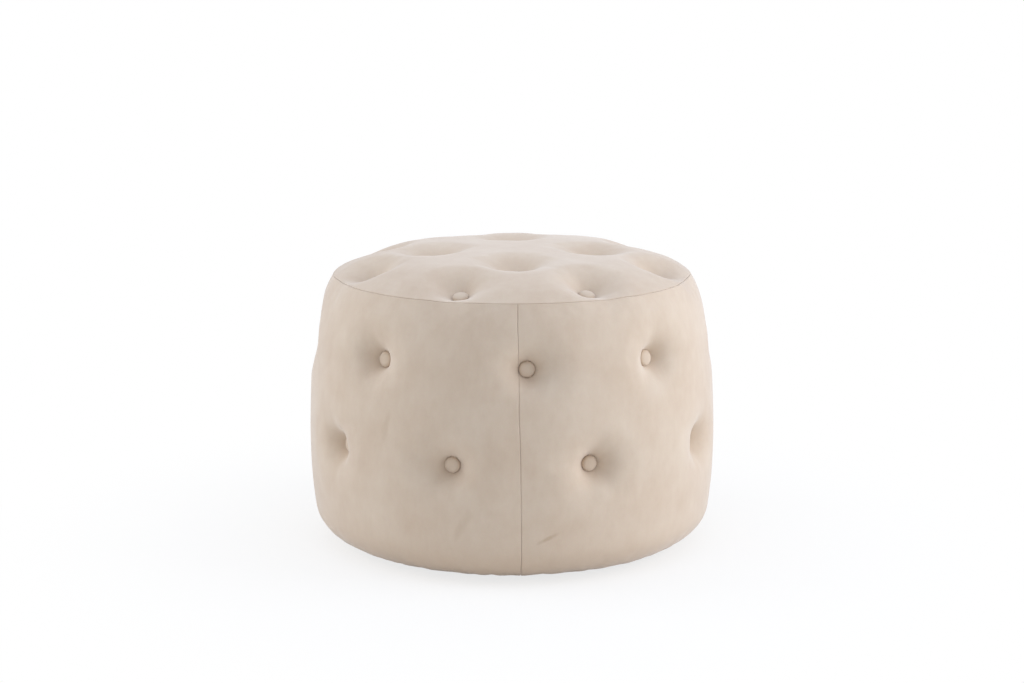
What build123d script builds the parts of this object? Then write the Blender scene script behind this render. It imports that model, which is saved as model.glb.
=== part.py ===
import math
import os

from build123d import *

# Overall form in millimetres. The floor is z = 0 and the front seam faces -Y.
overall_diameter = 550.0  # widest part of the side
overall_height = 400.0  # floor to the top of the crown
crown_rise = 34.0  # crown above the top seam
crown_fall = 5.5  # fall of the crown's flat middle, from centre to rim
rim_width = 92.0  # rounded rim between that middle and the seam
seam_inset = 33.0  # side drawn in at the top seam, from its widest
shoulder_drop = 76.0  # seam down to where the side starts to draw in
shoulder_inset = 9.5  # side drawn in there
widest_height = 147.0
base_inset = 13.0  # side drawn in where it would meet the underside
base_corner_radius = 52.0

# Soft layers
velvet_thickness = 1.4
wadding_thickness = 8.0
pinched_wadding = 2.4  # wadding squeezed under a button
layer_clearance = 0.2
side_padding = 50.0  # velvet, wadding and foam at the widest part
top_padding = 60.0  # the same at the middle of the crown
panel_gap = 0.3  # between two velvet panels at a seam
hem_width = 47.0  # velvet turned under, in from the wall's outer face

# Tufts: angles run from the front seam towards +X
inner_tufts = 4
upper_row_drop = 81.0  # top seam down to the upper row
lower_row_height = 157.0
outer_ring_inset = 40.0  # top seam in to the outer ring
ring_spacing = 94.0  # outer ring in to the inner ring
# Hand setting moves a tuft this many degrees from even spacing, and the front button clear of the seam
upper_row_shifts = (2.7, -1.4, 0.0, 0.0, 0.0, 0.0, 0.0, 0.8)
lower_row_shifts = (-1.0, -2.5, -1.5, 0.0, 2.0, 4.0, 6.9, 3.0)
outer_ring_shifts = (5.3, 5.5, 4.0, 0.0, 0.0, 0.0, -3.5, 0.9)
tuft_radius = 58.0  # reach of a dimple
seat_radius = 11.5  # flat bed of velvet under a button
side_seat_depth = 28.0  # full swell of the side's padding down to that bed
top_seat_depth = 24.0  # the same on the top
twine_hole = 7.0

# Covered buttons and their ties
button_diameter = 21.0
button_height = 7.0
button_wrap = 1.0
shell_gauge = 0.5
shell_straight = 2.5  # upright wall of the shell, below its dome
back_gauge = 0.8
back_recess = 0.4
fit_clearance = 0.1
eye_radius = 2.2
eye_wire = 1.0
eye_drop = 1.6  # middle of the eye below the button's back
twine_diameter = 1.4
twine_loop = 1.9  # radius of the loop through the eye
loop_drop = 4.4  # middle of that loop below the button's back
toggle_diameter = 6.0
toggle_length = 20.0
toggle_clearance = 0.5
toggle_slack = 0.2  # between toggle and twine

# Frame
board_thickness = 12.0
base_thickness = 15.0
base_ring_width = 72.0
wall_thickness = 3.0
wall_clearance = 0.2
wall_joint_gap = 1.0
post_count = 8
post_width = 36.0
post_depth = 18.0
post_turn = 0.25  # posts stand this share of a step past the upper row

# Fasteners and underside
screw_diameter = 4.0
screw_head = 8.0
screw_length = 40.0
staple_crown = 10.0
staple_width = 1.2
staple_wire = 0.6
staple_leg = 9.0
wall_staple_count = 16
cover_staple_count = 36
cover_staple_inset = 10.0  # out from the hem's raw edge
dust_thickness = 0.6
dust_margin = 17.0  # dust cover's edge in from the wall's outer face
dust_staple_count = 24
dust_staple_inset = 6.0  # in from the dust cover's edge
glide_count = 4
glide_diameter = 22.0
glide_height = 5.0
glide_edge = 1.2
glide_margin = 3.0  # ring's inner edge to a glide
nail_diameter = 2.4
nail_head = 8.0
nail_head_height = 1.5
nail_head_cover = 2.0  # plastic under the nail's head
nail_length = 18.0

# Levels and radii that follow
widest_radius = overall_diameter / 2
seam_radius = widest_radius - seam_inset
seam_height = overall_height - crown_rise
crown_radius = seam_radius - rim_width
dust_bottom = glide_height
cover_bottom = dust_bottom + dust_thickness + staple_wire
frame_bottom = cover_bottom + velvet_thickness
base_top = frame_bottom + base_thickness
board_top = overall_height - top_padding
board_bottom = board_top - board_thickness
wall_outer = widest_radius - side_padding
wall_inner = wall_outer - wall_thickness
frame_radius = wall_inner - wall_clearance
base_inner = frame_radius - base_ring_width
hem_radius = wall_outer - hem_width
dust_radius = wall_outer - dust_margin
post_middle = math.sqrt(frame_radius**2 - (post_width / 2) ** 2) - post_depth / 2

class Form:
    """Curves of the swelled form, as radius and height, at a layer's inset below the velvet."""

    def __init__(self, inset, outside=None):
        self.apex = Vector(0, overall_height - inset)
        self.crown_edge = Vector(crown_radius, overall_height - crown_fall)
        self.seam = Vector(seam_radius, seam_height)
        self.shoulder = Vector(widest_radius - shoulder_inset, seam_height - shoulder_drop)
        self.widest = Vector(widest_radius - inset, widest_height)
        self.base = Vector(widest_radius - base_inset, cover_bottom)
        if outside:
            self.draw_in(inset, outside)
        self.crown_arc = TangentArc(self.apex, self.crown_edge, tangent=(1, 0))
        self.rim_arc = TangentArc(self.crown_edge, self.seam, tangent=self.crown_arc % 1)
        self.side_arc = TangentArc(self.widest, self.shoulder, tangent=(0, 1))
        self.shoulder_arc = TangentArc(self.shoulder, self.seam, tangent=self.side_arc % 1)
        self.base_arc = TangentArc(self.widest, self.base, tangent=(0, -1))
        self.corner_radius = base_corner_radius - inset

    def draw_in(self, inset, outside):
        """Move each corner in by the inset, square to the outside curves that meet there."""
        crown_in = right_of(outside.crown_arc % 1)
        side_in = left_of(outside.side_arc % 1)
        self.crown_edge += mitre(inset, crown_in, crown_in)
        self.seam += mitre(inset, right_of(outside.rim_arc % 1), left_of(outside.shoulder_arc % 1))
        self.shoulder += mitre(inset, side_in, side_in)
        self.base += mitre(inset, right_of(outside.base_arc % 1), Vector(0, 1))

    def outline(self):
        """Closed half section, from the axis out."""
        floor_centre = Vector(0, self.base.Y)
        edges = [self.crown_arc, self.rim_arc, self.shoulder_arc, self.side_arc, self.base_arc]
        edges += [Line(self.base, floor_centre), Line(floor_centre, self.apex)]
        section = Sketch() + make_face(edges)
        return fillet(section.vertices().sort_by_distance(self.base)[0], self.corner_radius)


def right_of(direction):
    return Vector(direction.Y, -direction.X)


def left_of(direction):
    return Vector(-direction.Y, direction.X)


def mitre(inset, first, second):
    """Move that keeps a corner the same inset from two edges, given their inward normals."""
    return (first + second) * (inset / (1 + first.dot(second)))


velvet_form = Form(0.0)


def turned(outline):
    """Solid of revolution about Z from an outline of radius and height."""
    return revolve(Plane.XZ * outline, Axis.Z)


def ring(outer, inner, bottom, top):
    """Flat ring or, with no inner radius, a disc."""
    outline = Polyline((inner, bottom), (outer, bottom), (outer, top), (inner, top), close=True)
    return turned(make_face(outline))


def around(count, first=0.0):
    """Even angles round the axis, in degrees."""
    return [first + 360 / count * step for step in range(count)]


def at(angle, radius, height):
    """Frame on the axis side of a point: its X points outwards, its Z up."""
    return Rot(0, 0, angle - 90) * Pos(radius, 0, height)


class Tuft:
    """One tuft: the frame on the swelled surface, its button's depth and how far in its twine is tied."""

    def __init__(self, angle, arc, radius, height, seat_depth, lining_depth):
        centre = arc.arc_center
        out = math.sqrt(arc.radius**2 - (height - centre.Y) ** 2) + centre.X if radius is None else radius
        up = math.sqrt(arc.radius**2 - (radius - centre.X) ** 2) + centre.Y if height is None else height
        lean = math.atan2(up - centre.Y, out - centre.X)
        self.place = at(angle, out, up) * Rot(0, 90 - math.degrees(lean), 0)
        run, slope = lining_depth(out, up), (math.cos(lean) if radius is None else math.sin(lean))
        self.tie_depth = (run + toggle_diameter / 2 + toggle_clearance) / slope
        self.seat_depth = seat_depth
        self.seat = self.place * Pos(0, 0, -seat_depth)


def hand_set(first, shifts):
    """Even angles, each with its own small shift."""
    return [angle + shift for angle, shift in zip(around(len(shifts), first), shifts)]


def side_row(height, angles):
    """A row of side tufts."""
    return [
        Tuft(angle, velvet_form.side_arc, None, height, side_seat_depth, lambda out, up: out - wall_inner)
        for angle in angles
    ]


def top_ring(radius, angles, arc):
    """A ring of tufts in the top panel."""
    return [
        Tuft(angle, arc, radius, None, top_seat_depth, lambda out, up: up - board_bottom)
        for angle in angles
    ]


lower_start = 180 / len(lower_row_shifts)
outer_start = 180 / len(outer_ring_shifts)
outer_ring_radius = seam_radius - outer_ring_inset
inner_ring_radius = outer_ring_radius - ring_spacing
side_upper_tufts = side_row(seam_height - upper_row_drop, hand_set(0.0, upper_row_shifts))
side_lower_tufts = side_row(lower_row_height, hand_set(lower_start, lower_row_shifts))
outer_angles = hand_set(outer_start, outer_ring_shifts)
top_outer_tufts = top_ring(outer_ring_radius, outer_angles, velvet_form.rim_arc)
top_inner_tufts = top_ring(inner_ring_radius, around(inner_tufts), velvet_form.crown_arc)
side_tufts = side_upper_tufts + side_lower_tufts
top_tufts = top_outer_tufts + top_inner_tufts
all_tufts = side_tufts + top_tufts


def dimple(inset, depth):
    """What a tuft takes out of a layer: a flat bed with a wall that flares out to the surface."""
    lip = (tuft_radius, -inset)
    bed = (seat_radius, -depth)
    flare = TangentArc(lip, bed, tangent=(-1, 0))
    lid = Polyline(bed, (0, -depth), (0, depth), (tuft_radius, depth), lip)
    return turned(make_face([flare] + lid.edges()))


def swelled(inset, under):
    """The padded form at one layer's inset, with its dimples that far under the buttons' backs."""
    form = Form(inset, velvet_form)
    dimples = [tuft.place * dimple(inset, tuft.seat_depth + under) for tuft in all_tufts]
    return turned(form.outline()) - dimples


def outside_wall():
    """Room outside the wall and below the mitre from the wall's top edge to the top seam, with the hem."""
    wall_edge = Vector(wall_outer + layer_clearance, board_top)
    beyond = velvet_form.seam * 2 - wall_edge
    far = overall_diameter
    corners = [(hem_radius, 0), (far, 0), (far, beyond.Y), beyond, wall_edge]
    corners += [(wall_edge.X, base_top), (hem_radius, base_top)]
    return turned(make_face(Polyline(*corners, close=True)))


def above_board():
    """Room above the top board and inside the same mitre."""
    wall_edge = Vector(wall_outer, board_top)
    beyond = velvet_form.seam * 2 - wall_edge
    lid = overall_height + top_padding
    corners = [(0, board_top), wall_edge, beyond, (beyond.X, lid), (0, lid)]
    return turned(make_face(Polyline(*corners, close=True)))


def bores(tufts):
    """Needle holes that the twines pass through."""
    holes = []
    for tuft in tufts:
        hole = Pos(0, 0, -tuft.tie_depth / 2) * Cylinder(twine_hole / 2, tuft.tie_depth)
        holes.append(tuft.place * hole)
    return holes


def half_room(side):
    """Everything on one side of the front and back seams: -1 is left, 1 is right."""
    far = overall_diameter
    return Pos(side * (far + panel_gap) / 2, 0, overall_height / 2) * Box(far, far * 2, far * 2)


def dome(radius, straight, height):
    """Half outline of a domed button, standing on its back."""
    crown = TangentArc((0, height), (radius, straight), tangent=(1, 0))
    rest = Polyline((radius, straight), (radius, 0), (0, 0), (0, height))
    return make_face([crown] + rest.edges())


def button_parts():
    """Velvet wrap, metal shell and back with its eye, standing on z = 0."""
    outer = button_diameter / 2
    shell = outer - button_wrap
    shell_height = button_height - button_wrap
    cup = shell - shell_gauge
    wrap_room = dome(shell, shell_straight, shell_height)
    shell_solid = dome(shell - fit_clearance, shell_straight, shell_height - fit_clearance)
    cup_room = dome(cup - fit_clearance, shell_straight, shell_height - shell_gauge - fit_clearance)
    wrap = turned(dome(outer, shell_straight, button_height) - wrap_room)
    shell_cap = turned(shell_solid - cup_room)
    plate = ring(cup - 2 * fit_clearance, 0, back_recess, back_recess + back_gauge)
    eye = Pos(0, 0, -eye_drop) * Rot(90, 0, 0) * Torus(eye_radius, eye_wire / 2)
    return wrap, shell_cap, plate + eye


def twine(tuft):
    """Twine looped through a button's eye and round its toggle, in a tuft's frame."""
    thread = twine_diameter / 2
    eye_loop_height = -tuft.seat_depth - loop_drop
    toggle_loop = toggle_diameter / 2 + toggle_slack + thread
    strand_top = eye_loop_height - twine_loop
    strand_bottom = -tuft.tie_depth + toggle_loop
    strand = Cylinder(thread, strand_top - strand_bottom)
    parts = Pos(0, 0, (strand_top + strand_bottom) / 2) * strand
    parts += Pos(0, 0, eye_loop_height) * Rot(0, 90, 0) * Torus(twine_loop, thread)
    parts += Pos(0, 0, -tuft.tie_depth) * Rot(90, 0, 0) * Torus(toggle_loop, thread)
    return parts


def screw():
    """Countersunk wood screw, head on z = 0 and point downwards."""
    shank = screw_diameter / 2
    head = screw_head / 2
    sink = head - shank
    point = screw_length - screw_diameter
    outline = [(0, 0), (head, 0), (shank, -sink), (shank, -point), (0, -screw_length)]
    return turned(make_face(Polyline(*outline, close=True)))


def staple():
    """Upholstery staple, its crown's back on z = 0 and its legs downwards."""
    crown = Pos(0, 0, -staple_wire / 2) * Box(staple_width, staple_crown, staple_wire)
    for side in (-1, 1):
        leg_place = Pos(0, side * (staple_crown - staple_wire) / 2, -staple_leg / 2)
        crown += leg_place * Box(staple_width, staple_wire, staple_leg)
    return crown


def glide_nail():
    """Nail of a glide, standing on the floor as it is driven."""
    outline = [(0, nail_head_cover), (nail_head / 2, nail_head_cover)]
    outline += [(nail_head / 2, nail_head_cover + nail_head_height)]
    outline += [(nail_diameter / 2, nail_head_cover + nail_head_height)]
    outline += [(nail_diameter / 2, nail_head_cover + nail_length - nail_diameter)]
    outline += [(0, nail_head_cover + nail_length)]
    return turned(make_face(Polyline(*outline, close=True)))


def glide():
    """Low round plastic glide, its lower edge eased."""
    body = Pos(0, 0, glide_height / 2) * Cylinder(glide_diameter / 2, glide_height)
    lower_edge = body.edges().sort_by(Axis.Z)[0]
    return fillet(lower_edge, glide_edge)


# Fasteners, placed first so that what they pass through is cut by them
post_angles = around(post_count, 360 / post_count * post_turn)
upright = Rot(180, 0, 0)
board_screws = [at(angle, post_middle, board_top) * screw() for angle in post_angles]
ring_screws = [at(angle, post_middle, frame_bottom) * upright * screw() for angle in post_angles]
wall_staples = []
for level in (frame_bottom + base_thickness / 2, board_bottom + board_thickness / 2):
    for angle in around(wall_staple_count):
        wall_staples.append(at(angle, wall_outer, level) * Rot(0, 90, 0) * staple())
cover_staple_radius = hem_radius + cover_staple_inset
cover_staples = [
    at(angle, cover_staple_radius, cover_bottom - staple_wire) * upright * staple()
    for angle in around(cover_staple_count, 180 / cover_staple_count)
]
dust_staple_radius = dust_radius - dust_staple_inset
dust_staples = [
    at(angle, dust_staple_radius, dust_bottom - staple_wire) * upright * staple()
    for angle in around(dust_staple_count, 180 / dust_staple_count)
]
glide_radius = base_inner + glide_margin + glide_diameter / 2
glide_angles = around(glide_count, 180 / glide_count)
glide_nails = [at(angle, glide_radius, 0) * glide_nail() for angle in glide_angles]

nodes = {}

# Frame
nodes["top_board"] = ring(frame_radius, 0, board_bottom, board_top) - bores(top_tufts) - board_screws
base_plate = ring(frame_radius, base_inner, frame_bottom, base_top)
underside_fasteners = ring_screws + glide_nails + cover_staples + dust_staples
nodes["base_ring"] = base_plate - underside_fasteners - wall_staples
nodes["top_board"] -= wall_staples
post_height = board_bottom - base_top
for number, angle in enumerate(post_angles, start=1):
    post = at(angle, post_middle, base_top + post_height / 2) * Box(post_depth, post_width, post_height)
    nodes[f"post_{number}"] = post - board_screws - ring_screws
wall = ring(wall_outer, wall_inner, frame_bottom, board_top)
wall_joint = at(post_angles[post_count // 2], wall_outer, (frame_bottom + board_top) / 2)
wall -= wall_joint * Box(wall_thickness * 4, wall_joint_gap, overall_height)
nodes["wall_panel"] = wall - bores(side_tufts) - wall_staples
nodes["top_board_screws"] = board_screws
nodes["base_ring_screws"] = ring_screws
nodes["wall_staples"] = wall_staples

# Padding and velvet
wadding_inset = velvet_thickness + layer_clearance
pinched_under = wadding_inset + pinched_wadding
foam_inset = wadding_inset + wadding_thickness + layer_clearance
velvet = swelled(0.0, 0.0) - swelled(velvet_thickness, velvet_thickness)
wadding = swelled(wadding_inset, wadding_inset)
wadding -= swelled(wadding_inset + wadding_thickness, pinched_under)
foam = swelled(foam_inset, pinched_under + layer_clearance)
top_room = above_board()
side_room = outside_wall()
padding_room = side_room - ring(wall_outer + layer_clearance, 0, 0, base_top)
nodes["top_foam"] = (foam & top_room) - bores(top_tufts)
nodes["side_foam"] = (foam & padding_room) - bores(side_tufts)
nodes["top_wadding"] = (wadding & top_room) - bores(top_tufts)
nodes["side_wadding"] = (wadding & padding_room) - bores(side_tufts)
nodes["cover_top_panel"] = (velvet & top_room) - bores(top_tufts)
side_velvet = (velvet & side_room) - bores(side_tufts)
side_velvet -= cover_staples + dust_staples
nodes["cover_side_left"] = side_velvet & half_room(-1)
nodes["cover_side_right"] = side_velvet & half_room(1)
nodes["cover_staples"] = cover_staples

# Buttons and their ties
wrap, shell_cap, button_back = button_parts()
rows = {
    "top_inner_buttons": top_inner_tufts,
    "top_outer_buttons": top_outer_tufts,
    "side_upper_buttons": side_upper_tufts,
    "side_lower_buttons": side_lower_tufts,
}
for name, tufts in rows.items():
    nodes[name] = [tuft.seat * wrap for tuft in tufts]
nodes["button_shells"] = [tuft.seat * shell_cap for tuft in all_tufts]
nodes["button_backs"] = [tuft.seat * button_back for tuft in all_tufts]
nodes["tuft_twines"] = [tuft.place * twine(tuft) for tuft in all_tufts]
toggle = Rot(90, 0, 0) * Cylinder(toggle_diameter / 2, toggle_length)
nodes["tuft_toggles"] = [tuft.place * Pos(0, 0, -tuft.tie_depth) * toggle for tuft in all_tufts]

# Underside
dust_cloth = ring(dust_radius, 0, dust_bottom, dust_bottom + dust_thickness)
nodes["dust_cover"] = dust_cloth - dust_staples - glide_nails
nodes["dust_cover_staples"] = dust_staples
nodes["glides"] = [at(angle, glide_radius, 0) * glide() - glide_nails for angle in glide_angles]
nodes["glide_nails"] = glide_nails

os.makedirs("parts", exist_ok=True)
for name, shape in nodes.items():
    if isinstance(shape, list):
        shape = Compound(children=shape)
    export_step(shape, f"parts/{name}.step")
    print(name, len(shape.solids()), round(shape.volume))
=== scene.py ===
import math

import bpy
import numpy as np
from mathutils import Matrix, Vector, noise
from mathutils.kdtree import KDTree


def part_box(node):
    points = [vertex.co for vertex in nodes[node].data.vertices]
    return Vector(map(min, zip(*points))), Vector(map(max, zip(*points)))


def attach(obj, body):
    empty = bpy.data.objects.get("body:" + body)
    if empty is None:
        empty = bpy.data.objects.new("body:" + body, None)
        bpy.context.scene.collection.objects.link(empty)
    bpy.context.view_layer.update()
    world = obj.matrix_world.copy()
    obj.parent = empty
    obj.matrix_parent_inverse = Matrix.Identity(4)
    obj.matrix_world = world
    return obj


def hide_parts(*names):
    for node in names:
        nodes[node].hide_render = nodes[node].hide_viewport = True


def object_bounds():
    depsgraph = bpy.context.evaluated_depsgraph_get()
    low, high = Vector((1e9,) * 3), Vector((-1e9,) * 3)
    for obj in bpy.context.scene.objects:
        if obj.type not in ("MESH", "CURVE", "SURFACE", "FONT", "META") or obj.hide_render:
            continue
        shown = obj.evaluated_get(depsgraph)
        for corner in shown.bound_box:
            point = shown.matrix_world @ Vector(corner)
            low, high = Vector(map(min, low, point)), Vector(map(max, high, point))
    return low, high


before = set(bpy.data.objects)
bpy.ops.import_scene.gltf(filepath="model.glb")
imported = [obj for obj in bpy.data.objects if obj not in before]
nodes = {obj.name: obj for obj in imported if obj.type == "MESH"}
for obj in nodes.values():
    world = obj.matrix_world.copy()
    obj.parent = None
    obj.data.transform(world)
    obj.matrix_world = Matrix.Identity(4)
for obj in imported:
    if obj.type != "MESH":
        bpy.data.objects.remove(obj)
cadBox = [list(corner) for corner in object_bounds()]
mm = 0.001
print("frame loaded:", len(nodes), "nodes")

# Outline of the swelled form: the main sizes come from the frame
pouf = {
    "widest": cadBox[1][1],
    "top": cadBox[1][2],
    "seamRadius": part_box("cover_top_panel")[1][1],
    "seamHeight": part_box("cover_side_left")[1][2],
    "bottom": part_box("cover_side_left")[0][2],
    "boardTop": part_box("top_board")[1][2],
    "wallOuter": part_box("wall_panel")[1][1],
    "crownFall": 5.5 * mm,
    "rimWidth": 92 * mm,
    "shoulderDrop": 76 * mm,
    "shoulderInset": 9.5 * mm,
    "widestHeight": 147 * mm,
    "baseInset": 13 * mm,
    "baseCorner": 52 * mm,
    "hemWidth": 47 * mm,
    "seamLean": 0.9,  # degrees that the front seam drifts to the right on its way down
    "seamBow": 0.7,  # and gives way to the left beside the front button
}

tuft = {
    "upperDrop": 81 * mm,
    "lowerHeight": 157 * mm,
    "outerInset": 40 * mm,
    "ringSpacing": 94 * mm,
    "between": 22.5,  # degrees: the lower and outer rows start between two buttons of the upper row
    # degrees from even spacing, listed one for each button
    "upperShifts": (2.7, -1.4, 0, 0, 0, 0, 0, 0.8),
    "lowerShifts": (-1.0, -2.5, -1.5, 0, 2.0, 4.0, 6.9, 3.0),
    "outerShifts": (5.3, 5.5, 4.0, 0, 0, 0, -3.5, 0.9),
    "innerShifts": (0, 0, 0, 0),
    "reach": 58 * mm,
    "seat": 9.6 * mm,
    "sideDepth": 28 * mm,
    "topDepth": 24 * mm,
    "drawIn": 1.3,  # velvet is drawn in towards the button
    "sideFlare": 3.1,  # a dimple is steepest at its button
    "topFlare": 2.1,
    "ripple": 0.3 * mm,
    "creases": ((5, 1.7, 1.0), (8, 2.9, 0.6)),  # number round a button, turn from tuft to tuft, and share
    "settle": 1.2 * mm,  # how soon the wall meets the flat bed under the button
}


def tangentArc(start, heading, end, steps):  # points on the arc that leaves start along heading
    start, end = np.array(start), np.array(end)
    heading = np.array(heading) / np.linalg.norm(heading)
    chord = end - start
    side = heading[0] * chord[1] - heading[1] * chord[0]
    half = math.atan2(side, float(heading @ chord))
    radius = np.linalg.norm(chord) / (2 * math.sin(half))
    centre = start + radius * np.array([-heading[1], heading[0]])
    turns = np.linspace(0, 2 * half, steps)
    spoke = start - centre
    cos, sin = np.cos(turns), np.sin(turns)
    points = np.stack([spoke[0] * cos - spoke[1] * sin, spoke[0] * sin + spoke[1] * cos], axis=1) + centre
    cos, sin = cos[-1], sin[-1]
    last = np.array([heading[0] * cos - heading[1] * sin, heading[0] * sin + heading[1] * cos])
    return points, last  # and the heading at the end


class Profile:  # radius and height by the distance walked along the velvet
    def __init__(self, points):
        steps = np.linalg.norm(np.diff(points, axis=0), axis=1)
        keep = np.concatenate([[True], steps > 1e-9])
        self.points = points[keep]
        self.walk = np.concatenate([[0], np.cumsum(np.linalg.norm(np.diff(self.points, axis=0), axis=1))])
        self.length = self.walk[-1]

    def at(self, walk):
        return np.interp(walk, self.walk, self.points[:, 0]), np.interp(walk, self.walk, self.points[:, 1])

    def normal(self, walk):  # outwards, in radius and height
        step = 0.5 * mm
        r0, z0 = self.at(np.clip(walk - step, 0, self.length))
        r1, z1 = self.at(np.clip(walk + step, 0, self.length))
        along = np.hypot(r1 - r0, z1 - z0)
        return -(z1 - z0) / along, (r1 - r0) / along

    def walkAtHeight(self, height):
        order = np.argsort(self.points[:, 1])
        return float(np.interp(height, self.points[order, 1], self.walk[order]))

    def walkAtRadius(self, radius):
        return float(np.interp(radius, self.points[:, 0], self.walk))


arcSteps = {"crown": 200, "rim": 160, "side": 160, "neck": 120, "base": 80, "tuck": 120}


def drawProfiles():  # the top from its middle to the seam, and the side from the seam to the hem's raw edge
    p = pouf
    apex = (0, p["top"])
    crownEdge = (p["seamRadius"] - p["rimWidth"], p["top"] - p["crownFall"])
    seam = (p["seamRadius"], p["seamHeight"])
    shoulder = (p["widest"] - p["shoulderInset"], p["seamHeight"] - p["shoulderDrop"])
    widest = (p["widest"], p["widestHeight"])
    crown, heading = tangentArc(apex, (1, 0), crownEdge, arcSteps["crown"])
    rim, _ = tangentArc(crownEdge, heading, seam, arcSteps["rim"])
    side, heading = tangentArc(widest, (0, 1), shoulder, arcSteps["side"])
    neck, _ = tangentArc(shoulder, heading, seam, arcSteps["neck"])
    drop, inset, corner = p["widestHeight"] - p["bottom"], p["baseInset"], p["baseCorner"]
    baseRadius = (drop**2 + inset**2) / (2 * inset)
    cornerHeight = p["bottom"] + corner
    fall = p["widestHeight"] - cornerHeight
    cornerOut = p["widest"] - baseRadius + math.sqrt((baseRadius - corner) ** 2 - fall**2)
    lean = math.asin(fall / (baseRadius - corner))
    turn = np.linspace(0, lean, arcSteps["base"])
    baseOut, baseUp = p["widest"] - baseRadius, p["widestHeight"]
    base = np.stack([baseOut + baseRadius * np.cos(turn), baseUp - baseRadius * np.sin(turn)], axis=1)
    turn = np.linspace(lean, math.pi / 2, arcSteps["tuck"])
    tuck = np.stack([cornerOut + corner * np.cos(turn), cornerHeight - corner * np.sin(turn)], axis=1)
    hem = np.array([[p["wallOuter"] - p["hemWidth"], p["bottom"]]])
    topProfile = Profile(np.concatenate([crown, rim]))
    sideProfile = Profile(np.concatenate([neck[::-1], side[::-1], base, tuck, hem]))
    return topProfile, sideProfile


topProfile, sideProfile = drawProfiles()


class Tuft:  # one button's frame on the swelled surface; angles run from the front seam to +X
    def __init__(self, angle, profile, walk, place):
        radius, height = (float(v) for v in profile.at(walk))
        outR, outZ = (float(v) for v in profile.normal(walk))
        turn = math.radians(angle)
        across = np.array([math.sin(turn), -math.cos(turn), 0])
        self.origin = across * radius + np.array([0, 0, height])
        self.out = across * outR + np.array([0, 0, outZ])
        self.side = np.array([math.cos(turn), math.sin(turn), 0])
        self.up = np.cross(self.out, self.side)
        self.depth, self.flare = tuft[place + "Depth"], tuft[place + "Flare"]
        self.seat = self.origin - self.depth * self.out

    def matrix(self):  # places something modelled with its Z along the pull of the twine
        place = Matrix.Identity(4)
        for column, axis in enumerate((self.side, self.up, self.out)):
            for row in range(3):
                place[row][column] = axis[row]
        for row in range(3):
            place[row][3] = self.seat[row]
        return place


def layRow(profile, walk, place, first, shifts):  # evenly from the first angle, each with its own shift
    spacing = 360 / len(shifts)
    angles = [first + spacing * index + shift for index, shift in enumerate(shifts)]
    return [Tuft(angle, profile, walk, place) for angle in angles]


def layTufts():
    upper = sideProfile.walkAtHeight(pouf["seamHeight"] - tuft["upperDrop"])
    lower = sideProfile.walkAtHeight(tuft["lowerHeight"])
    ringRadius = pouf["seamRadius"] - tuft["outerInset"]
    outer = topProfile.walkAtRadius(ringRadius)
    inner = topProfile.walkAtRadius(ringRadius - tuft["ringSpacing"])
    return {
        "side_upper_buttons": layRow(sideProfile, upper, "side", 0, tuft["upperShifts"]),
        "side_lower_buttons": layRow(sideProfile, lower, "side", tuft["between"], tuft["lowerShifts"]),
        "top_outer_buttons": layRow(topProfile, outer, "top", tuft["between"], tuft["outerShifts"]),
        "top_inner_buttons": layRow(topProfile, inner, "top", 0, tuft["innerShifts"]),
    }


tuftRows = layTufts()
allTufts = [one for row in tuftRows.values() for one in row]
print("tufts laid out:", len(allTufts))


def pressTufts(points, lip=0.0, under=0.0):  # sinks a dimple at each button
    reach, seat = tuft["reach"], tuft["seat"]
    for index, one in enumerate(allTufts):
        depth = one.depth + under
        away = points - one.origin
        height = away @ one.out
        flat = away - height[..., None] * one.out
        aside = np.linalg.norm(flat, axis=-1)
        near = (aside < reach) & (np.abs(height) < 2 * tuft["sideDepth"])
        if not near.any():
            continue
        part, high, far = flat[near], height[near], aside[near]
        drawn = reach * (far / reach) ** tuft["drawIn"]
        part = part * (drawn / np.maximum(far, 1e-9))[:, None]
        turn = np.arctan2(part @ one.up, part @ one.side)
        ripple = sum(share * np.cos(count * turn + index * step) for count, step, share in tuft["creases"])
        band = np.clip((drawn - seat) / (reach - seat), 0, 1)
        ripple *= tuft["ripple"] * (4 * band * (1 - band)) ** 2
        sunk = high - (depth - lip) * (1 - band) ** one.flare + ripple
        bed = np.clip((drawn - seat) / tuft["settle"], 0, 1)
        sunk = bed * sunk - (1 - bed) * depth
        points[near] = one.origin + part + sunk[:, None] * one.out
    return points


def graded(length, step, fine):  # distances along a panel, close together at its sewn ends
    inner = np.linspace(fine[-1], length - fine[-1], max(2, round((length - 2 * fine[-1]) / step)))
    return np.concatenate([fine[:-1], inner, length - fine[:-1][::-1]])


rollSteps = np.array([0, 0.15, 0.4, 0.8, 1.3, 2.1, 3.4]) * mm


def seamRoll(distance, roll):  # how far a panel turns in beside a seam
    short = np.clip(roll - distance, 0, roll)
    return roll - np.sqrt(roll**2 - short**2)


lumps = {
    "height": 0.9 * mm,
    "fade": 20 * mm,  # none where the velvet is held, all of it this far away
    "broad": 9.0,  # noise cells to a metre
    "small": 24.0,
    "smallShare": 0.35,
    "smallShift": (4, 1, 7),  # keeps the two sizes apart
}


def puff(points):  # uneven swell of the padding
    flat = points.reshape(-1, 3)
    shift = Vector(lumps["smallShift"])
    values = np.empty(len(flat))
    for index, point in enumerate(flat):
        place = Vector(point)
        small = noise.noise(place * lumps["small"] + shift)
        values[index] = noise.noise(place * lumps["broad"]) + lumps["smallShare"] * small
    return lumps["height"] * values.reshape(points.shape[:-1])


def fadeIn(distance, over):  # 0 at no distance, 1 from there on
    return np.clip(distance / over, 0, 1)


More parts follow.
